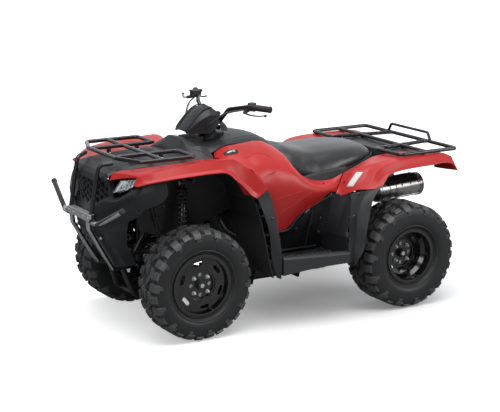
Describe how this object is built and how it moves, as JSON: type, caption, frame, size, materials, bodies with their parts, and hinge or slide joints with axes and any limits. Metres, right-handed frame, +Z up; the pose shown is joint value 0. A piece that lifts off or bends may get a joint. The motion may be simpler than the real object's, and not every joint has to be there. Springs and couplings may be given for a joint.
{
  "type": "utility quad bike",
  "caption": "Utility quad bike with moulded fenders, cargo racks, padded seat, tubular front guard, knobbly tyres, and handlebar steering linked to the front wheels.",
  "frame": {"origin": "on the ground, at the middle of the vehicle's bounding box", "axes": "+X forward, +Y to the rider's left, +Z up"},
  "size_m": [2.14, 1.2, 1.1787],
  "materials": {
    "body_red": "moulded-in red, high gloss",
    "charcoal_plastic": "dark grey textured polypropylene",
    "black_plastic": "black moulded plastic",
    "black_steel": "gloss black coat",
    "frame_black": "satin black coat",
    "engine_alloy": "dark cast alloy case",
    "muffler_steel": "satin silver sheet",
    "rim_black": "gloss black pressed steel",
    "hub_steel": "machined steel",
    "tyre_rubber": "black tread rubber",
    "grip_rubber": "black rubber",
    "seat_vinyl": "grained dark grey vinyl",
    "lamp_clear": "clear lens over a bright reflector",
    "lamp_red": "red lens",
    "spring_black": "black coil and damper"
  },
  "bodies": {
    "chassis": {"frame": "frame_black", "engine": "engine_alloy", "exhaust": "muffler_steel", "swingarm": "frame_black", "rear_shocks": "spring_black", "front_arms": "frame_black", "front_shocks": "spring_black", "front_guard": "black_steel", "front_skid": "charcoal_plastic", "grille": "black_plastic", "headlamps": "lamp_clear", "bumper_wings": "charcoal_plastic", "front_fender_left": "body_red", "front_fender_right": "body_red", "front_top_cover": "charcoal_plastic", "front_rack": "black_steel", "mudguards": "black_plastic", "fender_flaps": "charcoal_plastic", "side_cover_left": "body_red", "side_cover_right": "body_red", "tank_cover": "charcoal_plastic", "seat": "seat_vinyl", "footwell_left": "charcoal_plastic", "footwell_right": "charcoal_plastic", "rear_fender_left": "body_red", "rear_fender_right": "body_red", "rear_center_cover": "black_plastic", "rear_rack": "black_steel", "tail_lamp": "lamp_red"},
    "steering": {"steering_stem": "frame_black", "handlebar": "black_steel", "handlebar_cover": "charcoal_plastic", "hand_controls": "grip_rubber"},
    "left_tie_rod": {"tie_rod_left": "hub_steel"},
    "right_tie_rod": {"tie_rod_right": "hub_steel"},
    "left_knuckle": {"knuckle_left": "frame_black"},
    "right_knuckle": {"knuckle_right": "frame_black"},
    "left_front_wheel": {"front_hub_left": "hub_steel", "front_rim_left": "rim_black", "front_tyre_left": "tyre_rubber"},
    "right_front_wheel": {"front_hub_right": "hub_steel", "front_rim_right": "rim_black", "front_tyre_right": "tyre_rubber"},
    "rear_wheels": {"rear_axle": "hub_steel", "rear_rims": "rim_black", "rear_tyres": "tyre_rubber"}
  },
  "joints": [
    {"name": "steering", "type": "hinge", "parent": "chassis", "child": "steering", "pos_m": [0.59, 0, 0.33], "axis": [-0.4115, 0, 0.9114], "range_deg": [-38, 38]},
    {"name": "left_steer", "type": "hinge", "parent": "chassis", "child": "left_knuckle", "pos_m": [0.6, 0.33, 0.292], "axis": [0, 0, 1], "range_deg": [-32.2, 32.2]},
    {"name": "right_steer", "type": "hinge", "parent": "chassis", "child": "right_knuckle", "pos_m": [0.6, -0.33, 0.292], "axis": [0, 0, 1], "range_deg": [-32.2, 32.2]},
    {"name": "left_tie_rod_turn", "type": "hinge", "parent": "steering", "child": "left_tie_rod", "pos_m": [0.527, 0.032, 0.33], "axis": [-0.4115, 0, 0.9114], "range_deg": [-38.2, 38.2]},
    {"name": "right_tie_rod_turn", "type": "hinge", "parent": "steering", "child": "right_tie_rod", "pos_m": [0.527, -0.032, 0.33], "axis": [-0.4115, 0, 0.9114], "range_deg": [-38.2, 38.2]},
    {"name": "left_front_wheel_spin", "type": "hinge", "parent": "left_knuckle", "child": "left_front_wheel", "pos_m": [0.6, 0.4, 0.292], "axis": [0, 1, 0], "continuous": true},
    {"name": "right_front_wheel_spin", "type": "hinge", "parent": "right_knuckle", "child": "right_front_wheel", "pos_m": [0.6, -0.4, 0.292], "axis": [0, 1, 0], "continuous": true},
    {"name": "rear_axle_spin", "type": "hinge", "parent": "chassis", "child": "rear_wheels", "pos_m": [-0.672, 0, 0.292], "axis": [0, 1, 0], "continuous": true}
  ],
  "couplings": [
    {"joint": "left_steer", "follows": "steering", "ratio": 0.842},
    {"joint": "right_steer", "follows": "steering", "ratio": 0.842},
    {"joint": "left_tie_rod_turn", "follows": "steering", "ratio": -1},
    {"joint": "right_tie_rod_turn", "follows": "steering", "ratio": -1}
  ]
}
